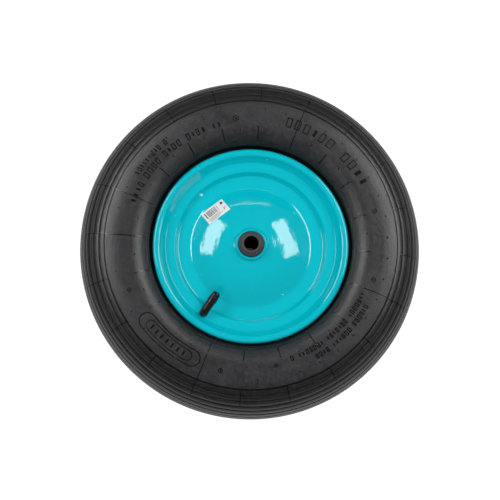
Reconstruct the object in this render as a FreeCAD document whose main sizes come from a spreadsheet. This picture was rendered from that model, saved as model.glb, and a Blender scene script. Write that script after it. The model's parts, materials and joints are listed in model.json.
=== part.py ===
import FreeCAD, Part
import math
import os

import Sketcher

# A pneumatic wheelbarrow wheel: ribbed tyre with inner tube on a drop-centre steel rim,
# two domed discs welded to a hub tube, and a 16 mm bore carried by two ball bearings.
# The origin is the wheel's centre, the wheel spins about +Y and its front face looks along -Y.
# "Offset" always means the distance from the wheel's middle plane along the axle.

SIZES = {
    # tyre
    "tyre_radius": 200.0,
    "section_half_width": 52.0,
    "shoulder_radius": 50.0,
    "lower_wall_reach": 130.5,
    "lower_wall_radius": 24.0,
    "tread_depth": 8.0,
    "wall_depth": 4.5,
    "groove_step": 8.4,
    "groove_size": 0.9,
    "rim_line_radius": 117.8,
    "rim_line_offset": 38.2,
    "bead_outer_offset": 29.5,
    "bead_inner_offset": 20.5,
    "bead_seat_radius": 103.2,
    "bead_heel_radius": 104.3,
    "bead_height": 6.3,
    "wire_inner_radius": 105.4,
    "wire_height": 3.6,
    "wire_inner_offset": 22.8,
    "wire_width": 4.4,
    # inner tube
    "tube_gap": 0.5,
    "tube_wall": 1.8,
    "tube_neck_offset": 19.9,
    "tube_foot_radius": 88.4,
    # steel rim
    "rim_sheet": 1.2,
    "flange_radius": 113.6,
    "flange_offset": 36.0,
    "flange_edge_offset": 31.0,
    "roll_radius": 3.7,
    "flange_root_radius": 103.0,
    "flange_root_offset": 31.0,
    "seat_inner_radius": 101.4,
    "well_wall_offset": 26.0,
    "well_radius": 86.2,
    "valve_hole_radius": 4.8,
    # pressed discs
    "disc_sheet": 1.5,
    "disc_skirt_radius": 84.7,
    "disc_skirt_offset": 24.4,
    "disc_floor_offset": 19.5,
    "dome_foot_radius": 70.5,
    "dome_foot_rounding": 8.0,
    "dome_mid_radius": 41.35,
    "dome_mid_offset": 37.72,
    "dome_rounding": 106.0,
    "dome_top_offset": 41.0,
    "hub_gap": 0.25,
    "weld_size": 2.2,
    # hub
    "hub_radius": 18.0,
    "hub_half_length": 45.0,
    "hub_bore": 15.6,
    "bearing_seat_radius": 16.0,
    "bearing_inner_face": 34.0,
    "bearing_width": 7.0,
    "bearing_bore": 10.0,
    "inner_ring_radius": 11.7,
    "outer_ring_inner": 14.2,
    "ball_circle": 13.0,
    "ball_radius": 1.75,
    "race_radius": 1.8,
    "cage_half_depth": 0.7,
    "cage_half_width": 2.2,
    "seal_gap": 0.3,
    "seal_depth": 0.5,
    "axle_radius": 8.0,
    "spacer_radius": 11.5,
    "nose_offset": 52.0,
    "bush_head_radius": 14.6,
    "bush_head_offset": 42.2,
    "bush_cone_offset": 47.6,
    "bush_face_radius": 10.4,
    "bore_chamfer": 0.6,
    # valve
    "valve_angle": 125.0,
    "valve_tilt": 7.0,
    "valve_base_radius": 95.0,
    "elbow_offset": 26.3,
    "elbow_radius": 6.5,
    "neck_radius": 4.4,
    "barrel_radius": 5.0,
    "barrel_length": 8.6,
    "pad_radius": 7.3,
    "pad_depth": 1.6,
    "air_way": 1.2,
    "insert_radius": 3.4,
    "thread_radius": 3.85,
    "thread_pitch": 0.794,
    "thread_depth": 0.42,
    "insert_length": 19.0,
    "insert_bore": 2.25,
    "core_radius": 2.15,
    "core_bottom": 4.0,
    "core_top": 17.4,
    "pin_radius": 0.55,
    "cap_radius": 5.4,
    "cap_neck_radius": 4.9,
    "cap_length": 13.7,
    "cap_bore": 4.0,
    "cap_seal_depth": 0.8,
    # paper label on the front dome
    "label_length": 30.0,
    "label_width": 17.0,
    "label_depth": 0.2,
    "label_angle": 225.0,
    "label_turn": 37.0,
    "label_radius": 57.8,
}

BALLS = 12
GROOVES_EACH_SIDE = 8
SPRING_TURNS = 6

doc = FreeCAD.newDocument("wheel")
sheet = doc.addObject("Spreadsheet::Sheet", "dims")
for row, (name, value) in enumerate(SIZES.items(), start=1):
    sheet.set(f"A{row}", name)
    sheet.set(f"B{row}", str(value))
    sheet.setAlias(f"B{row}", name)
doc.recompute()


class Size:
    """A length from the sheet that keeps its value and the expression that gives it."""

    def __init__(self, value, text):
        self.value = value
        self.text = text

    def join(self, other, sign, value):
        other = size(other)
        return Size(value(self.value, other.value), f"({self.text} {sign} {other.text})")

    def __add__(self, other):
        return self.join(other, "+", lambda a, b: a + b)

    def __sub__(self, other):
        return self.join(other, "-", lambda a, b: a - b)

    def __mul__(self, other):
        return self.join(other, "*", lambda a, b: a * b)

    def __neg__(self):
        return Size(-self.value, f"(-1 * {self.text})")


def size(value):
    return value if isinstance(value, Size) else Size(float(value), f"{float(value):.5f}")


class Dims:
    def __getattr__(self, name):
        return Size(float(sheet.get(name)), f"dims.{name}")


d = Dims()
UP = FreeCAD.Vector(0, 0, 1)
AXLE = FreeCAD.Vector(0, 1, 0)
TURN_ROUND = FreeCAD.Placement(FreeCAD.Vector(), FreeCAD.Rotation(UP, 180))
parts = []


def bind(item, **values):
    for name, value in values.items():
        value = size(value)
        setattr(item, name, value.value)
        item.setExpression(name, value.text)
    return item


def finish(item, label, placement=None):
    item.Label = label
    if placement is not None:
        item.Placement = placement
    parts.append(item)
    return item


# ---------------------------------------------------------------- sketches

def corner(across, along, rounding=0.0):
    return size(across), size(along), size(rounding)


def arc_at(before, here, after, radius):
    """Tangent points, centre and turning side of the rounding at one corner."""
    back = (before - here).normalize()
    ahead = (after - here).normalize()
    half = back.getAngle(ahead) / 2
    reach = radius / math.tan(half)
    middle = (back + ahead).normalize()
    centre = here + middle * (radius / math.sin(half))
    return here + back * reach, here + ahead * reach, centre


def draw_loop(sketch, corners):
    """Draws a closed outline of lines and roundings, and binds every corner to the sheet."""
    points = [FreeCAD.Vector(a.value, b.value, 0) for a, b, _ in corners]
    count = len(points)
    ends = []
    for i, (_, _, rounding) in enumerate(corners):
        if rounding.value > 0:
            start, stop, centre = arc_at(points[i - 1], points[i], points[(i + 1) % count],
                                         rounding.value)
            ends.append((start, stop, centre))
        else:
            ends.append((points[i], points[i], None))
    lines = []
    for i in range(count):
        line = Part.LineSegment(ends[i][1], ends[(i + 1) % count][0])
        lines.append(sketch.addGeometry(line, False))
    for i, (across, along, rounding) in enumerate(corners):
        start, stop, centre = ends[i]
        before, after = lines[i - 1], lines[i]
        if centre is None:
            sketch.addConstraint(Sketcher.Constraint("Coincident", before, 2, after, 1))
            held = (after, 1)
        else:
            middle = centre + (points[i] - centre).normalize() * rounding.value
            arc = sketch.addGeometry(Part.Arc(start, middle, stop), False)
            first, last = 1, 2
            if sketch.getPoint(arc, 1).distanceToPoint(start) > 1e-4:
                first, last = 2, 1
            sketch.addConstraint([
                Sketcher.Constraint("Tangent", before, 2, arc, first),
                Sketcher.Constraint("Tangent", arc, last, after, 1),
            ])
            mark = sketch.addGeometry(Part.Point(points[i]), True)
            sketch.addConstraint([
                Sketcher.Constraint("PointOnObject", mark, 1, before),
                Sketcher.Constraint("PointOnObject", mark, 1, after),
            ])
            radius = sketch.addConstraint(Sketcher.Constraint("Radius", arc, rounding.value))
            sketch.setExpression(f"Constraints[{radius}]", rounding.text)
            held = (mark, 1)
        for kind, place, axis in (("DistanceX", across, -2), ("DistanceY", along, -1)):
            if place.value == 0:
                sketch.addConstraint(Sketcher.Constraint("PointOnObject", *held, axis))
                continue
            number = sketch.addConstraint(Sketcher.Constraint(kind, *held, place.value))
            sketch.setExpression(f"Constraints[{number}]", place.text)


def new_sketch(body, role, *loops):
    plane = next(f for f in body.Origin.OriginFeatures if f.Role == role)
    sketch = body.newObject("Sketcher::SketchObject", "Sketch")
    sketch.AttachmentSupport = [(plane, "")]
    sketch.MapMode = "FlatFace"
    for loop in loops:
        draw_loop(sketch, loop)
    return sketch


def new_body(name):
    return doc.addObject("PartDesign::Body", name)


def turn(body, *loops):
    """A round piece: outlines given as radius and position along +Y, turned about the axle."""
    sketch = new_sketch(body, "XY_Plane", *loops)
    solid = body.newObject("PartDesign::Revolution", "Turned")
    solid.Profile = sketch
    solid.ReferenceAxis = (sketch, ["V_Axis"])
    solid.Angle = 360
    body.Tip = solid
    return body


def front(corners):
    """Outline corners given by their offset towards the front face, which looks along -Y."""
    return [(across, -offset, rounding) for across, offset, rounding in corners]


def both_sides(corners):
    """Closes a section whose rear half mirrors its front half."""
    mirrored = [(across, -offset, rounding) for across, offset, rounding in reversed(corners)]
    return front(corners) + front(mirrored)


def ring(label, inner, outer, low, high, placement=None, rounding=0.0):
    """A turned ring with a plain rectangular section."""
    corners = [corner(inner, low), corner(outer, low, rounding),
               corner(outer, high, rounding), corner(inner, high)]
    return finish(turn(new_body(label), front(corners)), label, placement)


def sheet_section(path, depth, side):
    """Outline of pressed sheet: the seen surface and, one sheet depth behind it, its back."""
    points = [FreeCAD.Vector(a.value, b.value, 0) for a, b, _ in path]
    back = []
    for i, (across, along, rounding) in enumerate(path):
        before = (points[i] - points[i - 1]).normalize() if i > 0 else None
        after = (points[i + 1] - points[i]).normalize() if i < len(path) - 1 else None
        first = before or after
        last = after or before
        normal_a = FreeCAD.Vector(-first.y, first.x, 0) * side
        normal_b = FreeCAD.Vector(-last.y, last.x, 0) * side
        shift = (normal_a + normal_b) * (1 / (1 + normal_a.dot(normal_b)))
        bend = first.x * last.y - first.y * last.x
        grown = rounding
        if rounding.value > 0:
            grown = rounding - depth if bend * side > 0 else rounding + depth
        back.append((across + depth * shift.x, along + depth * shift.y, grown))
    return list(path) + back[::-1]


# ---------------------------------------------------------------- tyre and tube

wall_half_width = d.section_half_width - d.wall_depth
tyre_outer = [
    corner(d.tyre_radius, d.section_half_width, d.shoulder_radius),
    corner(d.lower_wall_reach, d.section_half_width, d.lower_wall_radius),
    corner(d.rim_line_radius, d.rim_line_offset, 2.0),
    corner(d.rim_line_radius - 1.6, d.bead_outer_offset, 2.5),
    corner(d.bead_heel_radius, d.bead_outer_offset, 2.0),
    corner(d.bead_seat_radius, d.bead_inner_offset, 1.5),
    corner(d.bead_seat_radius + d.bead_height, d.bead_inner_offset, 3.0),
    corner(d.lower_wall_reach, wall_half_width, d.lower_wall_radius - 3.0),
    corner(d.tyre_radius - d.tread_depth, wall_half_width, d.shoulder_radius - 7.0),
]
wire_section = [
    corner(d.wire_inner_radius, d.wire_inner_offset),
    corner(d.wire_inner_radius + d.wire_height, d.wire_inner_offset),
    corner(d.wire_inner_radius + d.wire_height, d.wire_inner_offset + d.wire_width),
    corner(d.wire_inner_radius, d.wire_inner_offset + d.wire_width),
]
rear_wire = [(across, -offset, rounding) for across, offset, rounding in wire_section]
# The outer and inner surfaces both cross the middle plane, so the section is one closed band.
outer_half = tyre_outer[:7]
inner_half = tyre_outer[7:]
tyre_section = (front(outer_half) + front(inner_half)
                + front([(a, -o, q) for a, o, q in reversed(inner_half)])
                + front([(a, -o, q) for a, o, q in reversed(outer_half)]))
carcass = turn(new_body("carcass"), tyre_section, front(wire_section), front(rear_wire))

groove_tools = []
section_centre = d.tyre_radius - d.section_half_width
for step in range(-GROOVES_EACH_SIDE, GROOVES_EACH_SIDE + 1):
    angle = f"({step} * dims.groove_step * 1 deg)"
    turned = math.radians(step * d.groove_step.value)
    groove = doc.addObject("Part::Torus", "groove")
    radius = section_centre.value + d.section_half_width.value * math.cos(turned)
    groove.Radius1 = radius
    groove.setExpression("Radius1", f"{section_centre.text} + dims.section_half_width * cos({angle})")
    bind(groove, Radius2=d.groove_size)
    offset = d.section_half_width.value * math.sin(turned)
    groove.Placement = FreeCAD.Placement(FreeCAD.Vector(0, offset, 0),
                                         FreeCAD.Rotation(FreeCAD.Vector(1, 0, 0), 90))
    groove.setExpression("Placement.Base.y", f"dims.section_half_width * sin({angle})")
    groove_tools.append(groove)
grooves = doc.addObject("Part::Compound", "grooves")
grooves.Links = groove_tools
tyre = doc.addObject("Part::Cut", "tyre")
tyre.Base = carcass
tyre.Tool = grooves
finish(tyre, "tyre")

for label, placement in (("front_bead_wire", None), ("rear_bead_wire", TURN_ROUND)):
    finish(turn(new_body(label), front(wire_section)), label, placement)

tube_half_width = wall_half_width - d.tube_gap
tube_top = d.tyre_radius - d.tread_depth - d.tube_gap
tube_outer = [
    corner(tube_top, tube_half_width, d.shoulder_radius - 7.6),
    corner(d.lower_wall_reach + 0.3, tube_half_width, d.lower_wall_radius - 3.4),
    corner(d.bead_seat_radius + d.bead_height + 0.9, d.tube_neck_offset, 3.0),
    corner(d.tube_foot_radius, d.tube_neck_offset, 5.0),
]
tube_inner = [
    corner(tube_top - d.tube_wall, tube_half_width - d.tube_wall, d.shoulder_radius - 9.4),
    corner(d.lower_wall_reach + 1.0, tube_half_width - d.tube_wall, d.lower_wall_radius - 5.2),
    corner(d.bead_seat_radius + d.bead_height + 1.8, d.tube_neck_offset - d.tube_wall, 4.8),
    corner(d.tube_foot_radius + d.tube_wall, d.tube_neck_offset - d.tube_wall, 3.2),
]
finish(turn(new_body("inner_tube"), both_sides(tube_outer), both_sides(tube_inner)), "inner_tube")

# ---------------------------------------------------------------- steel rim and discs

rim_path = [
    corner(d.flange_radius, d.flange_edge_offset),
    corner(d.flange_radius, d.flange_offset, d.roll_radius),
    corner(d.flange_radius - d.roll_radius * 2, d.flange_offset, d.roll_radius),
    corner(d.flange_root_radius, d.flange_root_offset, 3.0),
    corner(d.seat_inner_radius, d.well_wall_offset + 0.2, 1.8),
    corner(d.well_radius + 1.4, d.well_wall_offset, 3.2),
    corner(d.well_radius, d.well_wall_offset - 5.0, 2.0),
]
rim_full = front(rim_path) + front([(a, -o, q) for a, o, q in reversed(rim_path)])
rim_body = turn(new_body("rim_blank"), sheet_section(rim_full, d.rim_sheet, -1))

valve_azimuth = FreeCAD.Rotation(AXLE, d.valve_angle.value)
hole_tool = doc.addObject("Part::Cylinder", "valve_hole")
bind(hole_tool, Radius=d.valve_hole_radius, Height=8)
hole_base = valve_azimuth.multVec(FreeCAD.Vector(d.valve_base_radius.value, -22, 0))
hole_tool.Placement = FreeCAD.Placement(hole_base, FreeCAD.Rotation(FreeCAD.Vector(1, 0, 0), 90))
rim = doc.addObject("Part::Cut", "rim")
rim.Base = rim_body
rim.Tool = hole_tool
finish(rim, "rim_band")

disc_path = [
    corner(d.disc_skirt_radius, d.disc_skirt_offset),
    corner(d.disc_skirt_radius, d.disc_floor_offset, 3.2),
    corner(d.dome_foot_radius, d.disc_floor_offset, d.dome_foot_rounding),
    corner(d.dome_mid_radius, d.dome_mid_offset, d.dome_rounding),
    corner(d.hub_radius + d.hub_gap, d.dome_top_offset),
]
for end, placement in (("front", None), ("rear", TURN_ROUND)):
    label = f"{end}_disc"
    path = front(disc_path)
    finish(turn(new_body(label), sheet_section(path, d.disc_sheet, -1)), label, placement)
    # fillet weld between the disc's skirt edge and the rim's well
    label = f"{end}_disc_weld"
    edge_bead = [
        corner(d.disc_skirt_radius + 0.1, d.disc_skirt_offset),
        corner(d.disc_skirt_radius + d.disc_sheet - 0.02, d.disc_skirt_offset),
        corner(d.disc_skirt_radius + d.disc_sheet - 0.02, d.disc_skirt_offset + 1.0),
    ]
    finish(turn(new_body(label), front(edge_bead)), label, placement)
    # fillet weld between the dome and the hub tube
    label = f"{end}_hub_weld"
    hub_bead = [
        corner(d.hub_radius, d.dome_top_offset + 0.15),
        corner(d.hub_radius + d.weld_size, d.dome_top_offset - 0.22),
        corner(d.hub_radius, d.dome_top_offset + d.weld_size),
    ]
    finish(turn(new_body(label), front(hub_bead)), label, placement)

# ---------------------------------------------------------------- hub and bearings

hub_corners = [
    corner(d.hub_radius, d.hub_half_length, 0.8),
    corner(d.bearing_seat_radius, d.hub_half_length),
    corner(d.bearing_seat_radius, d.bearing_inner_face),
    corner(d.hub_bore, d.bearing_inner_face),
]
finish(turn(new_body("hub_tube"), both_sides(hub_corners)), "hub_tube")

bearing_outer_face = d.bearing_inner_face + d.bearing_width
bearing_middle = d.bearing_inner_face + d.bearing_width * 0.5
ring("spacer_sleeve", d.axle_radius, d.spacer_radius, -d.bearing_inner_face, d.bearing_inner_face)


def bearing_ring(label, inner, outer, placement):
    """A bearing ring with its ball race cut round it."""
    corners = [corner(inner, d.bearing_inner_face), corner(outer, d.bearing_inner_face),
               corner(outer, bearing_outer_face), corner(inner, bearing_outer_face)]
    blank = turn(new_body(f"{label}_blank"), front(corners))
    race = doc.addObject("Part::Torus", "race")
    bind(race, Radius1=d.ball_circle, Radius2=d.race_radius)
    race.Placement = FreeCAD.Placement(FreeCAD.Vector(0, -bearing_middle.value, 0),
                                       FreeCAD.Rotation(FreeCAD.Vector(1, 0, 0), 90))
    race.setExpression("Placement.Base.y", f"-1 * {bearing_middle.text}")
    piece = doc.addObject("Part::Cut", label)
    piece.Base = blank
    piece.Tool = race
    return finish(piece, label, placement)


def around_bearing(index):
    """Rotation to one ball's place, and the ball's centre."""
    place = FreeCAD.Rotation(AXLE, 360.0 * index / BALLS)
    centre = place.multVec(FreeCAD.Vector(d.ball_circle.value, -bearing_middle.value, 0))
    return place, centre


for end, placement in (("front", None), ("rear", TURN_ROUND)):
    bearing_ring(f"{end}_bearing_inner_ring", d.bearing_bore, d.inner_ring_radius, placement)
    bearing_ring(f"{end}_bearing_outer_ring", d.outer_ring_inner, d.bearing_seat_radius, placement)
    seal_inner = d.inner_ring_radius + d.seal_gap
    outer_seal = bearing_outer_face - d.seal_gap
    inner_seal = d.bearing_inner_face + d.seal_gap
    ring(f"{end}_bearing_outer_seal", seal_inner, d.outer_ring_inner,
         outer_seal - d.seal_depth, outer_seal, placement)
    ring(f"{end}_bearing_inner_seal", seal_inner, d.outer_ring_inner,
         inner_seal, inner_seal + d.seal_depth, placement)
    cage_corners = [
        corner(d.ball_circle - d.cage_half_depth, bearing_middle - d.cage_half_width),
        corner(d.ball_circle + d.cage_half_depth, bearing_middle - d.cage_half_width),
        corner(d.ball_circle + d.cage_half_depth, bearing_middle + d.cage_half_width),
        corner(d.ball_circle - d.cage_half_depth, bearing_middle + d.cage_half_width),
    ]
    cage_blank = turn(new_body(f"{end}_cage_blank"), front(cage_corners))
    pockets = []
    balls = []
    for index in range(BALLS):
        place, centre = around_bearing(index)
        pocket = doc.addObject("Part::Cylinder", "pocket")
        bind(pocket, Radius=d.race_radius + 0.03, Height=8)
        outward = place.multVec(FreeCAD.Vector(1, 0, 0))
        pocket.Placement = FreeCAD.Placement(centre - outward * 4, FreeCAD.Rotation(UP, outward))
        pockets.append(pocket)
        ball = doc.addObject("Part::Sphere", "ball")
        bind(ball, Radius=d.ball_radius)
        ball.Placement = FreeCAD.Placement(centre, place)
        balls.append(ball)
    pocket_group = doc.addObject("Part::Compound", "pockets")
    pocket_group.Links = pockets
    cage = doc.addObject("Part::Cut", f"{end}_cage")
    cage.Base = cage_blank
    cage.Tool = pocket_group
    finish(cage, f"{end}_bearing_cage", placement)
    ball_group = doc.addObject("Part::Compound", f"{end}_balls")
    ball_group.Links = balls
    finish(ball_group, f"{end}_bearing_balls", placement)
    # black end bush: a spigot in the bearing and a coned head that covers it
    bush_corners = [
        corner(d.axle_radius, d.bearing_inner_face),
        corner(d.bearing_bore, d.bearing_inner_face),
        corner(d.bearing_bore, bearing_outer_face),
        corner(d.inner_ring_radius - 0.2, bearing_outer_face),
        corner(d.inner_ring_radius - 0.2, d.bush_head_offset),
        corner(d.bush_head_radius, d.bush_head_offset, 0.4),
        corner(d.bush_head_radius, d.bush_cone_offset, 0.9),
        corner(d.bush_face_radius, d.nose_offset, 0.6),
        corner(d.axle_radius + d.bore_chamfer, d.nose_offset),
        corner(d.axle_radius, d.nose_offset - d.bore_chamfer),
    ]
    label = f"{end}_end_bush"
    finish(turn(new_body(label), front(bush_corners)), label, placement)

# ---------------------------------------------------------------- valve

# The valve leaves the rim's well wall along the axle, bends in an elbow and then points
# inwards to the hub. Its pieces are turned along their own +Y, which starts at the elbow's end.
tilt = math.radians(d.valve_tilt.value)
bend = 90 - d.valve_tilt.value
stem_way = valve_azimuth.multVec(FreeCAD.Vector(-math.cos(tilt), -math.sin(tilt), 0))
elbow_centre = FreeCAD.Vector(d.valve_base_radius.value - d.elbow_radius.value,
                              -d.elbow_offset.value, 0)
elbow_end = elbow_centre + FreeCAD.Vector(math.sin(tilt), -math.cos(tilt), 0) * d.elbow_radius.value
STEM = FreeCAD.Placement(valve_azimuth.multVec(elbow_end), FreeCAD.Rotation(AXLE, stem_way))


def along_stem(start, way=AXLE):
    """Placement of a primitive whose own +Z follows the stem from a given distance."""
    base = FreeCAD.Placement(FreeCAD.Vector(0, start, 0), FreeCAD.Rotation(UP, way))
    return STEM.multiply(base)


def elbow_tool(name, neck, barrel):
    """Neck, elbow and barrel of one round size each, joined into one tool."""
    start = FreeCAD.Vector(d.valve_base_radius.value, -d.tube_neck_offset.value, 0)
    straight = doc.addObject("Part::Cylinder", f"{name}_neck")
    bind(straight, Radius=neck, Height=d.elbow_offset - d.tube_neck_offset)
    straight.Placement = FreeCAD.Placement(valve_azimuth.multVec(start),
                                           FreeCAD.Rotation(UP, FreeCAD.Vector(0, -1, 0)))
    curve = doc.addObject("Part::Torus", f"{name}_elbow")
    bind(curve, Radius1=d.elbow_radius, Radius2=neck, Angle3=bend)
    flat = FreeCAD.Placement(elbow_centre, FreeCAD.Rotation(FreeCAD.Vector(1, 0, 0),
                                                            FreeCAD.Vector(0, -1, 0),
                                                            FreeCAD.Vector(0, 0, -1)))
    curve.Placement = FreeCAD.Placement(FreeCAD.Vector(), valve_azimuth).multiply(flat)
    tail = doc.addObject("Part::Cylinder", f"{name}_barrel")
    bind(tail, Radius=barrel, Height=d.barrel_length)
    tail.Placement = along_stem(0)
    return [straight, curve, tail]


pad = doc.addObject("Part::Cylinder", "valve_pad")
bind(pad, Radius=d.pad_radius, Height=d.pad_depth)
pad_base = FreeCAD.Vector(d.valve_base_radius.value + 0.3, -d.tube_neck_offset.value, 0)
pad.Placement = FreeCAD.Placement(valve_azimuth.multVec(pad_base),
                                  FreeCAD.Rotation(UP, FreeCAD.Vector(0, -1, 0)))
rubber_outer = doc.addObject("Part::MultiFuse", "stem_outer")
rubber_outer.Shapes = elbow_tool("rubber", d.neck_radius, d.barrel_radius) + [pad]
rubber_inner = doc.addObject("Part::MultiFuse", "stem_hollow")
rubber_inner.Shapes = elbow_tool("air", d.air_way, d.insert_radius)
rubber = doc.addObject("Part::Cut", "stem_rubber")
rubber.Base = rubber_outer
rubber.Tool = rubber_inner
finish(rubber, "valve_stem_rubber")

# brass insert, whose free end carries the cap's thread as ridges round it
insert_corners = [
    corner(d.air_way, 0),
    corner(d.insert_radius, 0),
    corner(d.insert_radius, d.barrel_length + 0.3),
]
ridge_start = d.barrel_length.value + 0.6
ridges = int((d.insert_length.value - 0.6 - ridge_start) / d.thread_pitch.value)
for ridge in range(ridges):
    low = d.barrel_length + 0.6 + d.thread_pitch * ridge
    insert_corners.append(corner(d.thread_radius - d.thread_depth, low))
    insert_corners.append(corner(d.thread_radius, low + d.thread_pitch * 0.5))
insert_corners += [
    corner(d.thread_radius - d.thread_depth, d.barrel_length + 0.6 + d.thread_pitch * ridges),
    corner(d.thread_radius - d.thread_depth, d.insert_length),
    corner(d.insert_bore, d.insert_length),
    corner(d.insert_bore, 1.5),
    corner(d.air_way, 1.5),
]
finish(turn(new_body("valve_insert"), insert_corners), "valve_insert", STEM)

core_corners = [
    corner(0.9, d.core_bottom),
    corner(d.core_radius, d.core_bottom),
    corner(d.core_radius, d.core_top),
    corner(0.9, d.core_top),
    corner(0.9, d.core_top - 2.4),
    corner(1.65, d.core_top - 2.4),
    corner(1.65, d.core_bottom + 1.0),
    corner(0.9, d.core_bottom + 1.0),
]
core_blank = turn(new_body("valve_core_blank"), core_corners)
seal_seat = [
    corner(d.core_radius - 0.35, d.core_bottom + 2.0),
    corner(d.core_radius + 0.5, d.core_bottom + 2.0),
    corner(d.core_radius + 0.5, d.core_bottom + 4.0),
    corner(d.core_radius - 0.35, d.core_bottom + 4.0),
]
seat_tool = turn(new_body("core_seal_seat"), seal_seat)
core = doc.addObject("Part::Cut", "valve_core")
core.Base = core_blank
core.Tool = seat_tool
finish(core, "valve_core", STEM)
core_seal = [
    corner(d.core_radius - 0.35, d.core_bottom + 2.0),
    corner(d.insert_bore, d.core_bottom + 2.0),
    corner(d.insert_bore, d.core_bottom + 4.0),
    corner(d.core_radius - 0.35, d.core_bottom + 4.0),
]
finish(turn(new_body("valve_core_seal"), core_seal), "valve_core_seal", STEM)

# the pin, its collar, and the rubber disc that shuts the core from below
pin_rod = doc.addObject("Part::Cylinder", "pin_rod")
bind(pin_rod, Radius=d.pin_radius, Height=d.core_top - d.core_bottom + 2.3)
pin_rod.Placement = along_stem(d.core_bottom.value - 1.2)
pin_collar = doc.addObject("Part::Cylinder", "pin_collar")
bind(pin_collar, Radius=1.4, Height=0.7)
pin_collar.Placement = along_stem(d.core_top.value - 5.4)
pin = doc.addObject("Part::MultiFuse", "pin")
pin.Shapes = [pin_rod, pin_collar]
finish(pin, "valve_pin")
pin_seal = [
    corner(d.pin_radius, d.core_bottom - 1.0),
    corner(1.7, d.core_bottom - 1.0),
    corner(1.7, d.core_bottom - 0.05),
    corner(d.pin_radius, d.core_bottom - 0.05),
]
finish(turn(new_body("valve_pin_seal"), pin_seal), "valve_pin_seal", STEM)

# coil spring between the core's floor and the pin's collar
spring_low = d.core_bottom.value + 1.25
spring_height = d.core_top.value - 5.65 - spring_low
helix = Part.makeHelix(spring_height / SPRING_TURNS, spring_height, 1.25)
wire_circle = Part.Wire([Part.makeCircle(0.15, FreeCAD.Vector(1.25, 0, 0), FreeCAD.Vector(0, 1, 0))])
coil = Part.Wire(helix.Edges).makePipeShell([wire_circle], True, True)
spring = doc.addObject("Part::Feature", "spring")
spring.Shape = coil
finish(spring, "valve_spring", along_stem(spring_low))

cap_top = d.barrel_length + 0.1 + d.cap_length
cap_corners = [
    corner(d.cap_bore, d.barrel_length + 0.1),
    corner(d.cap_radius, d.barrel_length + 0.1, 0.5),
    corner(d.cap_radius, cap_top - 6.6, 0.6),
    corner(d.cap_neck_radius, cap_top - 6.0, 0.6),
    corner(d.cap_neck_radius, cap_top, 2.6),
    corner(0, cap_top),
    corner(0, cap_top - 2.2),
    corner(d.cap_bore, cap_top - 2.2),
]
finish(turn(new_body("valve_cap"), cap_corners), "valve_cap", STEM)
cap_seal = doc.addObject("Part::Cylinder", "cap_seal")
bind(cap_seal, Radius=d.cap_bore - 0.1, Height=d.cap_seal_depth)
cap_seal.Placement = along_stem(cap_top.value - 2.25 - d.cap_seal_depth.value)
finish(cap_seal, "valve_cap_seal")

# ---------------------------------------------------------------- paper label

label_lift = 0.06
skin = [
    corner(d.dome_foot_radius + 5.0, d.disc_floor_offset + label_lift),
    corner(d.dome_foot_radius, d.disc_floor_offset + label_lift, d.dome_foot_rounding),
    corner(d.dome_mid_radius, d.dome_mid_offset + label_lift, d.dome_rounding),
    corner(d.hub_radius, d.dome_top_offset + label_lift),
]
skin_body = turn(new_body("label_skin"), sheet_section(front(skin), d.label_depth, 1))
label_box = doc.addObject("Part::Box", "label_box")
bind(label_box, Length=d.label_length, Height=d.label_width, Width=60)
middle = FreeCAD.Rotation(AXLE, d.label_angle.value).multVec(
    FreeCAD.Vector(d.label_radius.value, 0, 0))
label_way = FreeCAD.Rotation(AXLE, -d.label_turn.value)
half = FreeCAD.Vector(d.label_length.value / 2, 60, d.label_width.value / 2)
label_box.Placement = FreeCAD.Placement(middle - label_way.multVec(half), label_way)
label = doc.addObject("Part::Common", "label")
label.Base = skin_body
label.Tool = label_box
finish(label, "rim_label")

# ---------------------------------------------------------------- check and write

doc.recompute()
broken = [item.Label for item in doc.Objects if {"Invalid", "Error"} & set(item.State)]
if broken:
    raise RuntimeError(f"not built: {broken}")
for item in parts:
    if item.Shape.isNull() or not item.Shape.isValid() or not item.Shape.Solids:
        raise RuntimeError(f"bad shape: {item.Label}")
os.makedirs("parts", exist_ok=True)
for item in parts:
    item.Shape.exportStep(f"parts/{item.Label}.step")
    print(item.Label, len(item.Shape.Solids), round(item.Shape.Volume, 2))
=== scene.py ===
import json
import math
import random

import bmesh
import bpy
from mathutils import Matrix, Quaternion, Vector


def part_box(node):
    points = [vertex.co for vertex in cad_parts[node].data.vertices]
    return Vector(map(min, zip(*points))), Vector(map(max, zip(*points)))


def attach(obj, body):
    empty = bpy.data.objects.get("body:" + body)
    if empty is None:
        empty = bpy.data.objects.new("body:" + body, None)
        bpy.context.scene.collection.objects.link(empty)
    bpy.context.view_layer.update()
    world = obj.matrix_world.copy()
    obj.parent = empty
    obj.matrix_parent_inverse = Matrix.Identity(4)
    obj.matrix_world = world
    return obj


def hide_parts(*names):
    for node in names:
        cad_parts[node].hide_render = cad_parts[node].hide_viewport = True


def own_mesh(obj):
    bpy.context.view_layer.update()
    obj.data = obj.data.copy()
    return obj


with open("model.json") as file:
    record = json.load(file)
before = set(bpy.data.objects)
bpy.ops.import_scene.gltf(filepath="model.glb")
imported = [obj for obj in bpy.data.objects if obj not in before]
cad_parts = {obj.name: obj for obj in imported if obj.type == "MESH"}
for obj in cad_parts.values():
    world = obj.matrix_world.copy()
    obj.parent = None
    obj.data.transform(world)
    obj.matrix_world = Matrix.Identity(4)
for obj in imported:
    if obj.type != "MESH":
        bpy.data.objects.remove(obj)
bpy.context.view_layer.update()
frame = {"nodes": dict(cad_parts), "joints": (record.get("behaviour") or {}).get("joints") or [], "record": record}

MM = 0.001
AXLE = Vector((0, 1, 0))
nodes = frame["nodes"]


def at(radius, offset, angle):
    """Point in metres; the angle turns from +X towards -Z, and offset is towards the front."""
    turned = math.radians(angle)
    return Vector((radius * math.cos(turned), -offset, -radius * math.sin(turned))) * MM


# ------------------------------------------------------------------ shader helpers

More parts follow.
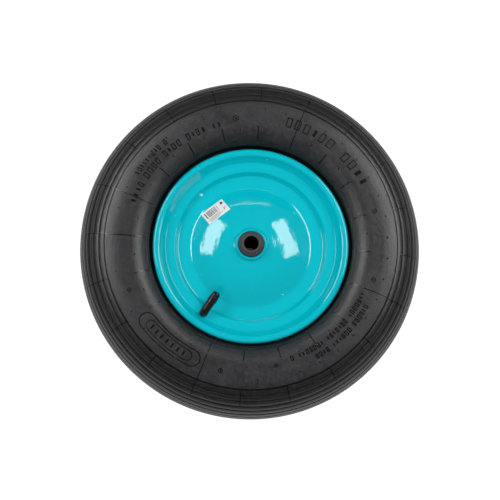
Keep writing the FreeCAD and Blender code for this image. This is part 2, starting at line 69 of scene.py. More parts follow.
class Val:
    """A number that varies over a surface, with ordinary arithmetic."""

    def __init__(self, finish, socket):
        self.finish = finish
        self.socket = socket

    def math(self, operation, *others, clamp=False):
        return self.finish.node("ShaderNodeMath", dict(operation=operation, use_clamp=clamp),
                                {0: self, **dict(enumerate(others, start=1))})

    def __add__(self, other):
        return self.math("ADD", other)

    def __mul__(self, other):
        return self.math("MULTIPLY", other)

    def __sub__(self, other):
        return self.math("SUBTRACT", other)

    def __rsub__(self, other):
        return self.math("MULTIPLY_ADD", -1.0, other)

    def __truediv__(self, other):
        return self.math("DIVIDE", other)

    __radd__ = __add__
    __rmul__ = __mul__

    def above(self, edge, soft):
        """0 below the edge and 1 above it, over a soft step."""
        return ((self - (edge - soft)) / (2 * soft)).math("ADD", 0.0, clamp=True)

    def power(self, other):
        return self.math("POWER", other)


class Finish:
    """One procedural material of this wheel."""

    def __init__(self, name, **fixed):
        self.material = bpy.data.materials.new(name)
        self.material.use_nodes = True
        self.tree = self.material.node_tree
        self.shader = self.tree.nodes["Principled BSDF"]
        for socket, value in fixed.items():
            self.shader.inputs[socket.replace("_", " ")].default_value = value

    def node(self, kind, settings=None, inputs=None, out=0):
        node = self.tree.nodes.new(kind)
        for name, value in (settings or {}).items():
            setattr(node, name, value)
        for name, value in (inputs or {}).items():
            if isinstance(value, Val):
                self.tree.links.new(value.socket, node.inputs[name])
            else:
                node.inputs[name].default_value = value
        return Val(self, node.outputs[out])

    def put(self, socket, value):
        self.tree.links.new(value.socket, self.shader.inputs[socket])

    def place(self):
        return self.node("ShaderNodeTexCoord", out="Object")

    def radius(self):
        """Distance from the axle, in metres."""
        split = self.tree.nodes.new("ShaderNodeSeparateXYZ")
        self.tree.links.new(self.place().socket, split.inputs[0])
        across, along, up = (Val(self, socket) for socket in split.outputs)
        return (across * across + up * up).power(0.5)

    def noise(self, size, detail=3.0, rough=0.55, stretch=None):
        """Cloudy noise whose blotches are about the given size in metres."""
        place = self.place()
        if stretch:
            place = self.node("ShaderNodeMapping", None, {"Vector": place, "Scale": stretch})
        return self.node("ShaderNodeTexNoise", None, {
            "Vector": place, "Scale": 1.0 / size, "Detail": detail, "Roughness": rough})

    def near(self, place, size):
        """1 around a place on the wheel, falling to 0 about two sizes away from it."""
        gap = self.node("ShaderNodeVectorMath", dict(operation="DISTANCE"),
                        {0: self.place(), 1: tuple(place)}, out=1)
        return 1.0 - gap.above(size, size * 0.8)

    def blend(self, amount, low, high):
        """A colour between two others."""
        def colour(value):
            return value if isinstance(value, Val) else (*value, 1.0)
        return self.node("ShaderNodeMix", dict(data_type="RGBA"),
                         {0: amount, 6: colour(low), 7: colour(high)}, out=2)

    def bump(self, height, depth, strength=1.0):
        self.put("Normal", self.node("ShaderNodeBump", None, {
            "Height": height, "Distance": depth, "Strength": strength}))


# ------------------------------------------------------------------ finishes

def enamel():
    """Glossy teal enamel on pressed steel, with a faint orange peel, scuffs and small chips."""
    paint = Finish("teal_enamel", Specular_IOR_Level=0.66)
    radius = paint.radius()
    patch = paint.noise(0.06, 2.0)
    speck = paint.noise(0.0012, 4.0, 0.7)
    base = paint.blend(patch.above(0.5, 0.25), (0.0, 0.385, 0.455), (0.0, 0.400, 0.472))
    chip = paint.noise(0.0030, 1.5, 0.5).above(0.765, 0.008)
    chip = chip * paint.noise(0.03, 1.0).above(0.60, 0.02) * radius.above(0.045, 0.004)
    flake = paint.near(at(84.6, 20.5, 227), 0.0015) * paint.noise(0.0016, 2.0).above(0.46, 0.03)
    grit = paint.noise(0.0021, 1.0, 0.5, (1.0, 1.0, 1.3)).above(0.80, 0.01)
    streak = paint.noise(0.0016, 2.0, 0.6, (1.0, 1.0, 0.16))
    scuff = streak.above(0.58, 0.04) * paint.near(at(28.1, 38.4, -9.8), 0.0055)
    base = paint.blend(chip, base, (0.55, 0.80, 0.84))
    base = paint.blend(flake, base, (0.62, 0.84, 0.87))
    base = paint.blend(grit * 0.8, base, (0.02, 0.06, 0.07))
    base = paint.blend(scuff * 0.7, base, (0.42, 0.80, 0.85))
    paint.put("Base Color", base)
    paint.put("Roughness", 0.012 + 0.02 * speck + 0.4 * chip + 0.4 * flake)
    dome = 1.0 - radius.above(0.062, 0.003)
    brushed = paint.noise(0.012, 2.5, 0.55, (1.0, 1.0, 0.5)) * 0.60
    ragged = paint.noise(0.0036, 3.0, 0.55) * 0.17
    calm = paint.noise(0.020, 2.0, 0.5) * 0.25 + paint.noise(0.0035, 2.0, 0.6) * 0.02
    paint.bump((brushed + ragged) * dome + calm + chip * -0.08, 0.0010, 0.6)
    return paint.material


def tyre_rubber(name, level):
    """Black tyre rubber: dusty and blotchy on the walls, clean on its raised marks, which are painted darker
    partly as painted shade; painted shade also darkens the tread and makes the ring by the rim near black.
    """
    rubber = Finish(name, Specular_IOR_Level=level)
    radius = rubber.radius()
    cloud = rubber.noise(0.05, 5.0, 0.62)
    streak = rubber.noise(0.012, 4.0, 0.6, (1.0, 2.5, 1.0))
    grain = rubber.noise(0.0011, 3.0, 0.7)
    mark = rubber.node("ShaderNodeAttribute", dict(attribute_name="mark"), out="Fac")
    tread = radius.above(0.1680, 0.0030)
    wall = radius.above(0.122, 0.004) * (1.0 - tread)
    dust = (cloud.above(0.52, 0.22) * 0.6 + streak.above(0.55, 0.2) * 0.4) * (0.25 + 0.75 * wall)
    dust = dust * (1.0 - mark)
    mottle = rubber.noise(0.0042, 4.0, 0.68)
    colour = rubber.blend(dust, (0.0042, 0.0037, 0.0043), (0.0215, 0.0198, 0.0218))
    colour = rubber.blend(mottle.above(0.58, 0.10) * 0.6, colour, (0.031, 0.0295, 0.0315))
    # Painted shade: the tread is painted darker than the walls.
    colour = rubber.blend(tread * 0.5, colour, (0.0022, 0.0021, 0.0023))
    # The raised marks are clean rubber, painted darker partly as painted shade of the ridges.
    colour = rubber.blend(mark, colour, (0.0012, 0.0011, 0.0012))
    scuff = rubber.noise(0.003, 3.0).above(0.7, 0.05) * rubber.noise(0.03, 2.0).above(0.6, 0.1)
    colour = rubber.blend(scuff * 0.4, colour, (0.07, 0.066, 0.064))
    # Painted shade: the rubber is near black where it sinks behind the rim's flange.
    rim_gap_painted_shade = radius.above(0.1182, 0.0012)
    colour = rubber.blend(rim_gap_painted_shade, (0.0012, 0.0012, 0.0013), colour)
    rubber.put("Base Color", colour)
    rubber.put("Roughness", 0.36 + 0.12 * dust + 0.16 * (mottle - 0.5) + 0.08 * grain
               - 0.20 * mark)
    rubber.bump(grain * 0.35 + streak * 0.4 + mottle * 0.8, 0.0006, 0.75)
    return rubber.material


def moulded(name, dark, light, rough, size=0.0016, depth=0.0002, level=0.5):
    """Moulded plastic or rubber with a fine grain and slight tone changes."""
    stuff = Finish(name, Specular_IOR_Level=level)
    grain = stuff.noise(size, 4.0, 0.65)
    patch = stuff.noise(size * 9, 3.0)
    stuff.put("Base Color", stuff.blend(patch.above(0.5, 0.3), dark, light))
    stuff.put("Roughness", rough + 0.14 * (grain - 0.5) + 0.10 * (patch - 0.5))
    stuff.bump(grain, depth, 0.6)
    return stuff.material


def bush_plastic():
    """Satin black plastic, rough and painted near black inside the bore as painted shade."""
    stuff = Finish("bush_black", Specular_IOR_Level=0.5)
    outside = stuff.radius().above(0.0087, 0.0002)
    grain = stuff.noise(0.0016, 4.0, 0.65)
    ring = stuff.noise(0.004, 3.0, 0.6)
    face = stuff.blend(ring.above(0.5, 0.3), (0.036, 0.034, 0.037), (0.056, 0.053, 0.056))
    # Painted shade: the bore is painted near black.
    stuff.put("Base Color", stuff.blend(outside, (0.002, 0.002, 0.002), face))
    stuff.put("Roughness", 1.0 - outside * (0.58 - 0.14 * grain))
    stuff.bump(grain, 0.0002, 0.6)
    return stuff.material


def metal(name, dark, light, rough, size=0.003, depth=0.00006, stretch=(1.0, 8.0, 1.0)):
    """Turned or drawn metal, with marks that run round it."""
    stuff = Finish(name, Metallic=1.0)
    marks = stuff.noise(size, 4.0, 0.6, stretch)
    patch = stuff.noise(size * 5, 3.0)
    stuff.put("Base Color", stuff.blend(patch.above(0.5, 0.3), dark, light))
    stuff.put("Roughness", rough + 0.16 * (marks - 0.5))
    stuff.bump(marks, depth, 0.5)
    return stuff.material


def label_paper():
    """Matt white paper."""
    paper = Finish("label_paper", Specular_IOR_Level=0.35)
    fibre = paper.noise(0.0009, 4.0, 0.7)
    patch = paper.noise(0.012, 2.0)
    paper.put("Base Color", paper.blend(patch.above(0.5, 0.3), (0.60, 0.605, 0.60),
                                        (0.66, 0.66, 0.655)))
    paper.put("Roughness", 0.42 + 0.12 * fibre)
    paper.bump(fibre, 0.00004, 0.5)
    return paper.material


def label_ink():
    """Black print, worn in places."""
    ink = Finish("label_ink", Specular_IOR_Level=0.3)
    wear = ink.noise(0.0011, 3.0, 0.7)
    ink.put("Base Color", ink.blend(wear.above(0.6, 0.15), (0.015, 0.015, 0.017),
                                    (0.10, 0.10, 0.105)))
    ink.put("Roughness", 0.5 + 0.15 * wear)
    return ink.material


def backdrop_white():
    """Bright even white behind the wheel."""
    white = Finish("backdrop_white", Roughness=0.95, Specular_IOR_Level=0.0)
    tone = white.noise(0.5, 2.0)
    white.put("Base Color", white.blend(tone, (0.10, 0.10, 0.10), (0.12, 0.12, 0.12)))
    white.shader.inputs["Emission Color"].default_value = (1, 1, 1, 1)
    white.shader.inputs["Emission Strength"].default_value = 1.02
    return white.material


TEAL = enamel()
TYRE = tyre_rubber("tyre_wall", 0.75)
TREAD = tyre_rubber("tyre_tread", 0.55)
BUSH = bush_plastic()
STEM = moulded("stem_rubber", (0.003, 0.003, 0.0035), (0.007, 0.007, 0.0075), 0.42, level=0.35)
CAP = moulded("cap_black", (0.003, 0.003, 0.0035), (0.007, 0.007, 0.0075), 0.36, level=0.4)
PAPER = label_paper()
INK = label_ink()
WHITE = backdrop_white()
INNER = {
    "bead_wire": metal("bead_wire_steel", (0.35, 0.30, 0.24), (0.55, 0.5, 0.42), 0.4),
    "tube_rubber": moulded("tube_butyl", (0.012, 0.012, 0.012), (0.03, 0.03, 0.03), 0.45),
    # Painted shade: the spacer sleeve in the bore is near black and has no gloss.
    "black_steel": moulded("sleeve_painted_shade", (0.003, 0.003, 0.003), (0.006, 0.006, 0.006), 0.9,
                           level=0.0),
    "zinc_steel": metal("zinc_plate", (0.50, 0.51, 0.52), (0.66, 0.66, 0.65), 0.36),
    "bearing_steel": metal("bearing_steel", (0.50, 0.50, 0.51), (0.66, 0.66, 0.67), 0.22),
    "ball_steel": metal("ball_steel", (0.66, 0.66, 0.67), (0.80, 0.80, 0.81), 0.10),
    "seal_rubber": moulded("seal_rubber", (0.015, 0.015, 0.015), (0.03, 0.03, 0.03), 0.5),
    "cage_nylon": moulded("cage_nylon", (0.62, 0.56, 0.44), (0.74, 0.69, 0.58), 0.42),
    "valve_brass": metal("valve_brass", (0.55, 0.40, 0.16), (0.76, 0.60, 0.30), 0.26),
    "core_seal": moulded("core_seal_red", (0.45, 0.06, 0.04), (0.60, 0.10, 0.07), 0.4),
    "pin_rubber": moulded("pin_rubber", (0.012, 0.012, 0.012), (0.03, 0.03, 0.03), 0.5),
    "spring_steel": metal("spring_steel", (0.45, 0.45, 0.46), (0.65, 0.65, 0.66), 0.25),
}
for entry in frame["record"]["subparts"]:
    finish = INNER.get(entry["material_slot"])
    if finish:
        piece = nodes[entry["node"]]
        piece.data.materials.clear()
        piece.data.materials.append(finish)


# ------------------------------------------------------------------ mesh helpers

def rounded(corners, step=6.0):
    """Outline points in mm, given corners as (radius, offset, rounding)."""
    points = [Vector(c[:2]) for c in corners]
    count = len(points)
    out = []
    for i, here in enumerate(points):
        rounding = corners[i][2] if len(corners[i]) > 2 else 0.0
        back = points[i - 1] - here
        ahead = points[(i + 1) % count] - here
        if rounding <= 0:
            out.append(here)
            continue
        reach_back, reach_ahead = back.length, ahead.length
        back.normalize()
        ahead.normalize()
        half = back.angle(ahead) / 2
        reach = rounding / math.tan(half)
        if reach > min(reach_back, reach_ahead) * 1.0001:
            raise ValueError(f"rounding {rounding} too large at {here}")
        centre = here + (back + ahead).normalized() * (rounding / math.sin(half))
        start = here + back * reach - centre
        total = math.pi - 2 * half
        turn = 1 if start.x * (here - centre).y - start.y * (here - centre).x > 0 else -1
        pieces = max(2, math.ceil(math.degrees(total) / step))
        for k in range(pieces + 1):
            angle = turn * total * k / pieces
            out.append(centre + Vector((start.x * math.cos(angle) - start.y * math.sin(angle),
                                        start.x * math.sin(angle) + start.y * math.cos(angle))))
    return out


def mirrored(corners):
    """The same outline on the other side of the wheel's middle plane, in reverse order."""
    return [(c[0], -c[1], *c[2:]) for c in reversed(corners)]


def sheet(path, depth):
    """Corners of pressed sheet: the seen path, then its back, one sheet depth behind it."""
    points = [Vector(c[:2]) for c in path]
    back = []
    for i, c in enumerate(path):
        before = (points[i] - points[i - 1]).normalized() if i else None
        after = (points[i + 1] - points[i]).normalized() if i < len(path) - 1 else None
        first, last = before or after, after or before
        normal_a, normal_b = Vector((-first.y, first.x)), Vector((-last.y, last.x))
        shift = (normal_a + normal_b) / (1 + normal_a.dot(normal_b)) * depth
        bend = first.x * last.y - first.y * last.x
        rounding = c[2] if len(c) > 2 else 0.0
        if rounding > 0:
            rounding += -depth if bend > 0 else depth
        back.append((c[0] + shift.x, c[1] + shift.y, max(rounding, 0.0)))
    return list(path) + back[::-1]


def to_object(name, mesh_maker, finish, body, replaced=(), sharp=35):
    """Makes the piece's object, smooths it, and hangs it on its CAD body."""
    mesh = bpy.data.meshes.new(name)
    mesh_maker.normal_update()
    mesh_maker.to_mesh(mesh)
    mesh_maker.free()
    for face in mesh.polygons:
        face.use_smooth = True
    mesh.set_sharp_from_angle(angle=math.radians(sharp))
    mesh.materials.append(finish)
    piece = bpy.data.objects.new(name, mesh)
    bpy.context.scene.collection.objects.link(piece)
    if replaced:
        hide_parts(*replaced)
    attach(piece, body)
    return piece


def turn(maker, outline, segments=256, shape=None):
    """Adds a ring of the closed outline; shape(radius, offset) may shift a point."""
    rings = []
    for k in range(segments):
        angle = 360.0 * k / segments
        ring = []
        for p in outline:
            radius, offset = shape(p.x, p.y) if shape else (p.x, p.y)
            ring.append(maker.verts.new(at(radius, offset, angle)))
        rings.append(ring)
    count = len(outline)
    for k in range(segments):
        here, after = rings[k], rings[(k + 1) % segments]
        for i in range(count):
            j = (i + 1) % count
            maker.faces.new((here[i], here[j], after[j], after[i]))


def outline_area(outline):
    return sum(a.x * b.y - b.x * a.y for a, b in zip(outline, outline[1:] + outline[:1]))


def turned_piece(name, corners, finish, body, replaced=(), segments=256, step=6.0,
                 sharp=35):
    """A piece turned round the axle from its outline's corners."""
    outline = rounded(corners, step)
    maker = bmesh.new()
    turn(maker, outline, segments)
    if outline_area(outline) > 0:
        bmesh.ops.reverse_faces(maker, faces=maker.faces[:])
    return to_object(name, maker, finish, body, replaced, sharp)


# ------------------------------------------------------------------ tyre

tyre_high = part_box("tyre")[1]
TYRE_R = tyre_high.z / MM
HALF_WIDTH = tyre_high.y / MM
SECTION_CENTRE = TYRE_R - HALF_WIDTH
SUNK = 0.85  # the plain wall lies this far inside the widest point of its raised marks
WALL = [
    (TYRE_R, HALF_WIDTH - SUNK, 50.0),
    (130.5, HALF_WIDTH - SUNK, 24.0),
    (117.8, 38.2, 2.0),
    (116.2, 29.5, 2.5),
    (104.3, 29.5, 2.0),
    (103.2, 20.5, 1.5),
    (109.5, 20.5, 3.0),
    (130.5, HALF_WIDTH - 4.5, 21.0),
    (TYRE_R - 8.0, HALF_WIDTH - 4.5, 43.0),
]


def dense(points, step):
    """The same outline with no edge longer than the step, in mm."""
    out = []
    for a, b in zip(points, points[1:] + points[:1]):
        pieces = max(1, math.ceil((b - a).length / step))
        out += [a.lerp(b, k / pieces) for k in range(pieces)]
    return out


RIB_STEP = 8.4
RIB_COUNT = 8
GROOVE_HALF_WIDTH = 1.0
GROOVE_DEPTH = 1.4
CROWN_RISE = 0.28
CROWN_SINK = 0.30
TREAD_EDGE = 185.9
TYRE_SEGMENTS = 480
CLEAN_AND_SHADED_FROM = 122.8  # raised marks outside this radius are clean, and painted darker partly as painted shade


def rib_depth(radius, offset):
    """How far the rubber sinks at a point of the tread, in mm."""
    side = math.degrees(math.atan2(offset, radius - SECTION_CENTRE))
    place = side / RIB_STEP
    if abs(place) > RIB_COUNT + 0.5:
        return 0.0
    near = round(place)
    gap = (place - near) * RIB_STEP * math.pi / 180 * HALF_WIDTH
    cut = GROOVE_DEPTH * max(0.0, 1 - (gap / GROOVE_HALF_WIDTH) ** 2)
    crown = CROWN_RISE * (1 - math.cos(2 * math.pi * place)) * 0.5
    return cut + CROWN_SINK - crown if abs(place) <= RIB_COUNT else cut


def tyre_shape(radius, offset):
    """Sinks the ribs' grooves into the tread and leaves the walls and the inside alone."""
    away = Vector((radius - SECTION_CENTRE, offset))
    outside = away.x ** 2 + away.y ** 2 > (HALF_WIDTH - 2.5) ** 2
    if radius > 117.0 and outside and away.x > 15:
        shift = away.normalized() * rib_depth(radius, offset)
        return radius - shift.x, offset - shift.y
    return radius, offset


wall_outline = dense(rounded(WALL + mirrored(WALL), 2.5), 0.7)
wall_curve = sorted((p.x, p.y) for p in wall_outline
                    if p.y > 30 and p.x > 117.5 and (p.x - SECTION_CENTRE) ** 2 + p.y ** 2
                    > (HALF_WIDTH - 3.5) ** 2 or (p.y >= 0 and p.x > TYRE_R - 6))


def wall_offset(radius):
    """Offset of the tyre's outer surface at a radius."""
    for (r0, o0), (r1, o1) in zip(wall_curve, wall_curve[1:]):
        if r0 <= radius <= r1:
            return o0 + (o1 - o0) * (radius - r0) / max(r1 - r0, 1e-9)
    return wall_curve[0][1] if radius < wall_curve[0][0] else 0.0


def wall_point(radius, angle, side):
    """Point on the tyre's outer wall and its normal; side is 1 in front and -1 at the rear."""
    offset = wall_offset(radius)
    slope = (wall_offset(radius + 0.4) - wall_offset(radius - 0.4)) / 0.8
    place = at(radius, offset * side, angle)
    outward = at(1, 0, angle) / MM
    normal = (AXLE * -side - outward * slope).normalized()
    return place, normal


def ridge(maker, path, width, height, side, closed=False, sink=0.35):
    """A raised line on the tyre's wall that follows (radius, angle) points."""
    spots = [wall_point(r, a, side) for r, a in path]
    count = len(spots)
    rings = []
    for i, (place, normal) in enumerate(spots):
        before = spots[i - 1][0] if i or closed else place
        after = spots[(i + 1) % count][0] if i < count - 1 or closed else place
        across = normal.cross(after - before).normalized()
        top, low = normal * height * MM, -normal * sink * MM
        half = across * width * MM / 2
        rings.append([maker.verts.new(place + v) for v in (
            half * 1.2 + low, half * 0.8 + top, -half * 0.8 + top, -half * 1.2 + low)])
    pairs = zip(rings, rings[1:] + rings[:1]) if closed else zip(rings, rings[1:])
    made = []
    for here, after in pairs:
        for i in range(4):
            j = (i + 1) % 4
            made.append(maker.faces.new((here[i], after[i], after[j], here[j])))
    if not closed:
        made.append(maker.faces.new(rings[0]))
        made.append(maker.faces.new(rings[-1][::-1]))
    return made


def bar(maker, radius, angle, tall, wide, side, height=0.6):
    """An upright raised block, tall across the wall and wide around it."""
    steps = 2
    path = [(radius + tall * (k / steps - 0.5), angle) for k in range(steps + 1)]
    return ridge(maker, path, wide, height, side)


def arc_line(maker, radius, start, stop, wide, side, height=0.6):
    """A raised line that follows the wheel round from one angle to another."""
    steps = max(2, int(abs(stop - start) / 1.5))
    path = [(radius, start + (stop - start) * k / steps) for k in range(steps + 1)]
    return ridge(maker, path, wide, height, side)


def band_of_blocks(maker, radius, start, stop, tall, side, seed, wide, gap, group):
    """A row of plain raised blocks where a tyre carries its moulded marking."""
    chance = random.Random(seed)
    angle = start
    made = []
    degree = math.pi * radius / 180
    stroke = 0.95
    count = 0
    while angle * degree + wide < stop * degree:
        block = wide * chance.uniform(0.75, 1.1)
        middle = angle + block / degree / 2
        if chance.random() < 0.65:
            ends = block * 0.36 / degree
            made += bar(maker, radius, middle - ends, tall, stroke, side)
            made += bar(maker, radius, middle + ends, tall, stroke, side)
            for edge in (-0.46, 0.46):
                made += arc_line(maker, radius + tall * edge, middle - ends, middle + ends, stroke,
                                 side)
        else:
            made += bar(maker, radius, middle, tall * 0.7, block * 0.5, side)
        angle += (block + gap) / degree
        count += 1
        if count % group == 0:
            angle += wide * 1.3 / degree
    return made


def ring_mark(maker, radius, angle, size, side):
    """A small raised circle with a stud in it."""
    degree = math.pi * radius / 180
    path = [(radius + size * math.sin(t), angle + size * math.cos(t) / degree)
            for t in (2 * math.pi * k / 20 for k in range(20))]
    made = ridge(maker, path, 0.8, 0.45, side, closed=True)
    return made + bar(maker, radius, angle, size * 0.9, size * 0.5, side)


def stud(maker, radius, angle, side, wide=1.15, tall=0.8):
    """The stub of a vent left on the rubber."""
    place, normal = wall_point(radius, angle, side)
    lean = normal.orthogonal().normalized()
    other = normal.cross(lean)
    rows = []
    for height, size in ((-0.3, 1.0), (tall * 0.7, 0.85), (tall, 0.45)):
        rows.append([maker.verts.new(place + normal * height * MM + (
            lean * math.cos(t) + other * math.sin(t)) * wide * size * MM)
            for t in (2 * math.pi * k / 8 for k in range(8))])
    made = []
    for low, high in zip(rows, rows[1:]):
        for i in range(8):
            j = (i + 1) % 8
            made.append(maker.faces.new((low[i], low[j], high[j], high[i])))
    made.append(maker.faces.new(rows[-1]))
    return made


def panel_path(r0, r1, a0, a1):
    """Outline of a panel with round ends, as (radius, angle) points."""
    middle = (r0 + r1) / 2
    half = (r1 - r0) / 2
    degree = math.pi * middle / 180
    path = []
    steps = 10
    for k in range(steps + 1):
        t = -math.pi / 2 + math.pi * k / steps
        path.append((middle + half * math.sin(t), a1 - half / degree + half * math.cos(t) / degree))
    span = a1 - a0 - 2 * half / degree
    path += [(r1, a1 - half / degree - span * k / 12) for k in range(1, 12)]
    for k in range(steps + 1):
        t = math.pi / 2 + math.pi * k / steps
        path.append((middle + half * math.sin(t), a0 + half / degree + half * math.cos(t) / degree))
    path += [(r0, a0 + half / degree + span * k / 12) for k in range(1, 12)]
    return path


# rows of plain blocks: radius, first and last angle, height, seed, block width, gap, group
BLOCK_ROWS = (
    (148.0, 286, 334, 11.0, 3, 8.5, 3.2, 6),
    (143.5, 199, 257, 7.5, 5, 4.6, 2.4, 4),
    (154.0, 211, 231, 6.5, 6, 3.6, 1.6, 9),
    (139.5, 24, 72, 5.5, 8, 3.4, 1.7, 7),
    (149.5, 28.5, 62, 5.5, 9, 3.4, 1.7, 6),
)
# ring marks: angle, radius, size
RING_MARKS = ((16.5, 146, 2.4), (78.7, 143, 2.0), (103.5, 150, 2.2), (158.7, 149, 2.2),
              (263.0, 147, 3.2), (345.0, 147, 2.4))
MOULD_LINES = 20
REAR_TURN = 140  # the rear wall's marks are turned by this angle from the front wall's


def ring_line(maker, radius, width, height, side):
    """A raised line right round one wall."""
    return ridge(maker, [(radius, a) for a in range(0, 360, 2)], width, height, side, closed=True)


def mould_line(maker, angle, long, chance, side):
    """One radial mould line, its nub, and the vent stubs between it and the next line."""
    inner_end = 136.5 + chance.uniform(-1.5, 1.5)
    reach = [(118 + (inner_end - 118) * i / 6, angle) for i in range(7)]
    made = ridge(maker, reach, 1.0, 0.6, side) + stud(maker, inner_end, angle, side)
    made += ridge(maker, [(167 + 4.5 * i, angle + 0.3) for i in range(7)], 0.7, 0.3, side)
    if long:
        made += ridge(maker, [(r, angle) for r in range(137, 168, 3)], 0.9, 0.5, side)
    for share, radius, turned in ((0.85, 157.0, 2.5), (0.85, 157.0, 11.5), (0.8, 134.0, 9.0)):
        if chance.random() < share:
            made += stud(maker, radius + chance.uniform(-1, 1), angle + turned, side)
    return made


def tyre_marks(maker, side):
    """Mould lines, vent stubs and plain raised marks on one wall of the tyre."""
    made = ring_line(maker, 118.6, 0.9, 0.7, side) + ring_line(maker, 121.0, 0.9, 0.7, side)
    made += ring_line(maker, 167.2, 0.7, 0.25, side)
    chance = random.Random(7 + side)
    for k in range(MOULD_LINES):
        angle = 3.7 + 360 / MOULD_LINES * k + chance.uniform(-0.25, 0.25)
        made += mould_line(maker, angle, k % 5 == 1 or k == 10, chance, side)
    spread = 0 if side > 0 else REAR_TURN
    for radius, start, stop, tall, seed, wide, gap, group in BLOCK_ROWS:
        made += band_of_blocks(maker, radius, start + spread, stop + spread, tall, side, seed,
                               wide, gap, group)
    for inner, outer, start, stop, width, height in ((138.5, 157.5, 113.5, 146.5, 1.1, 0.5),
                                                     (142.0, 154.0, 117.5, 142.5, 0.9, 0.4)):
        capsule = panel_path(inner, outer, start + spread, stop + spread)
        made += ridge(maker, capsule, width, height, side, closed=True)
    for k in range(7):
        made += bar(maker, 148.0, 121.5 + spread + 3.0 * k, 5.5, 2.2, side)
    for angle, radius, size in RING_MARKS:
        made += ring_mark(maker, radius, angle + spread, size, side)
    return made


def build_tyre():
    """The ribbed carcass with its marks, clean and partly painted in shade where raised, and duller on the tread.
    """
    maker = bmesh.new()
    turn(maker, wall_outline, TYRE_SEGMENTS, tyre_shape)
    if outline_area(wall_outline) > 0:
        bmesh.ops.reverse_faces(maker, faces=maker.faces[:])
    carcass = len(maker.verts)
    marks = tyre_marks(maker, 1) + tyre_marks(maker, -1)
    bmesh.ops.recalc_face_normals(maker, faces=marks)
    layer = maker.verts.layers.float.new("mark")
    maker.verts.ensure_lookup_table()
    for vert in maker.verts[carcass:]:
        vert[layer] = 1.0 if math.hypot(vert.co.x, vert.co.z) > CLEAN_AND_SHADED_FROM * MM else 0.0
    shell = to_object("tyre_shell", maker, TYRE, "wheel", ["tyre"], 40)
    shell.data.materials.append(TREAD)
    for face in shell.data.polygons:
        if math.hypot(face.center.x, face.center.z) > TREAD_EDGE * MM:
            face.material_index = 1


build_tyre()

# ------------------------------------------------------------------ steel rim, discs and hub

RIM_PATH = [
    (113.6, 31.0),
    (113.6, 36.0, 3.7),
    (106.2, 36.0, 3.7),
    (103.0, 31.0, 3.0),
    (99.2, 26.6, 1.2),
    (95.5, 26.0, 5.0),
    (92.5, 26.0, 4.0),
    (88.4, 25.1, 0.5),
    (86.2, 21.9, 0.4),
]
DOME_FOOT = (70.5, 19.5, 8.0)
DOME_MIDDLE = (41.35, 37.72, 106.0)
DOME_TOP = (18.25, 41.0)
DISC_PATH = [(85.6, 19.5), DOME_FOOT, DOME_MIDDLE, DOME_TOP]


turned_piece("rim_pressing", sheet(RIM_PATH + mirrored(RIM_PATH), 1.2), TEAL, "wheel",
             ["rim_band"], 360, 5.0)


def flip(corners):
    """The same piece on the rear side."""
    return [(c[0], -c[1], *c[2:]) for c in corners]


for end, body_side in (("front", 1), ("rear", -1)):
    def sided(corners):
        return corners if body_side > 0 else flip(corners)

    turned_piece(f"{end}_dome", sided(sheet(DISC_PATH, 1.5)), TEAL, "wheel",
                 [f"{end}_disc"], 360, 2.5)
    edge_bead = [(82.4, 19.4), (84.5, 19.56, 2.3), (86.6, 22.6), (87.0, 22.2), (85.8, 18.6)]
    turned_piece(f"{end}_edge_weld", sided(edge_bead), TEAL, "wheel",
                 [f"{end}_disc_weld"], 360, 4.0, sharp=60)
    neck_bead = [(18.02, 40.6), (20.6, 40.5), (18.9, 41.5, 1.2), (18.02, 43.2)]
    turned_piece(f"{end}_neck_weld", sided(neck_bead), TEAL, "wheel",
                 [f"{end}_hub_weld"], 200, sharp=60)

turned_piece("hub_sleeve", [
    (18.0, 45.0, 0.8), (15.2, 45.0, 0.5), (15.2, 42.8), (16.0, 42.8), (16.0, 34.0), (15.6, 34.0),
    (15.6, -34.0), (16.0, -34.0), (16.0, -42.8), (15.2, -42.8), (15.2, -45.0, 0.5),
    (18.0, -45.0, 0.8)],
    TEAL, "wheel", ["hub_tube"], 200)

for end, body_side in (("front", 1), ("rear", -1)):
    bush = [(8.0, 34.0), (10.0, 34.0), (10.0, 41.0), (11.5, 41.0), (11.5, 42.2),
            (14.6, 42.2, 0.4), (14.6, 47.6, 0.9), (10.4, 52.0, 0.6), (8.6, 52.0), (8.0, 51.4)]
    turned_piece(f"{end}_bush", bush if body_side > 0 else flip(bush), BUSH, "hub_core",
                 [f"{end}_end_bush"], 160, 8.0)


# ------------------------------------------------------------------ valve

cap_joint = next(j for j in frame["joints"] if j["name"] == "cap_turn")
STEM_WAY = Vector(cap_joint["axis"]).normalized()
STEM_MARK = Vector(cap_joint["pos_m"])
VALVE_ANGLE = 125.0
inward = -at(1, 0, VALVE_ANGLE) / MM
ELBOW_END = STEM_MARK - STEM_WAY * 12.0 * MM


def frame_along(way, hint):
    """Two directions square to a way and to each other."""
    other = (hint - way * hint.dot(way)).normalized()
    return other, way.cross(other)


def skin(maker, rings):
    """Closed skin over a row of rings of points."""
    count = len(rings[0])
    for low, high in zip(rings, rings[1:]):
        for i in range(count):
            j = (i + 1) % count
            maker.faces.new((low[i], low[j], high[j], high[i]))
    maker.faces.new(rings[0][::-1])
    maker.faces.new(rings[-1])


def tube(maker, spine, segments=32):
    """Skin over (place, direction, radius in mm) stations."""
    rings = []
    for place, way, radius in spine:
        first, second = frame_along(way.normalized(), Vector((0.3, 1.0, 0.2)).cross(inward))
        rings.append([maker.verts.new(place + (first * math.cos(t) + second * math.sin(t))
                                      * radius * MM)
                      for t in (2 * math.pi * k / segments for k in range(segments))])
    skin(maker, rings)


